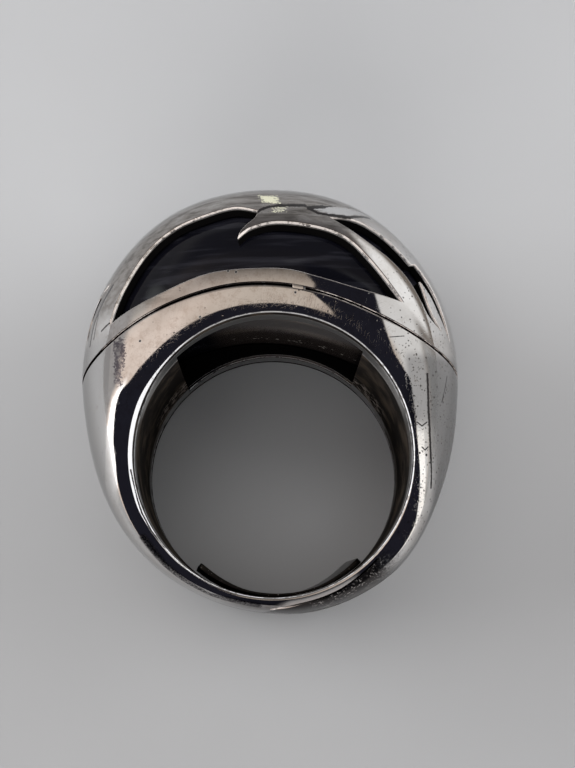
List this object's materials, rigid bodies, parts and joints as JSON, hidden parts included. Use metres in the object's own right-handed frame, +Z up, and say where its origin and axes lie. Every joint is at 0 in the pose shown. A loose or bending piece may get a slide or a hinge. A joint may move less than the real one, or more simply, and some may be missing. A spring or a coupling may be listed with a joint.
{
  "type": "gemstone ring",
  "caption": "Wide silver dome ring with a pierced blade-pattern cover over a black stone, a tapering shank and a thin sizing strip.",
  "frame": {"origin": "centre of the ring's bounding box, on the surface that it lies on", "axes": "+Z up from that surface, +Y from the shank towards the dome, +X to the right as the picture shows the ring"},
  "size_m": [0.0274, 0.0314, 0.0191],
  "materials": {
    "silver": "polished silver with fine wear scratches, small pits and tarnish in the grooves",
    "black_stone": "glossy black with faint grey streaks",
    "strip_metal": "dull grey metal with darkened edges"
  },
  "bodies": {
    "root": {"shank": "silver", "cover": "silver", "stone": "black_stone", "sizing_strip": "strip_metal"}
  },
  "joints": []
}
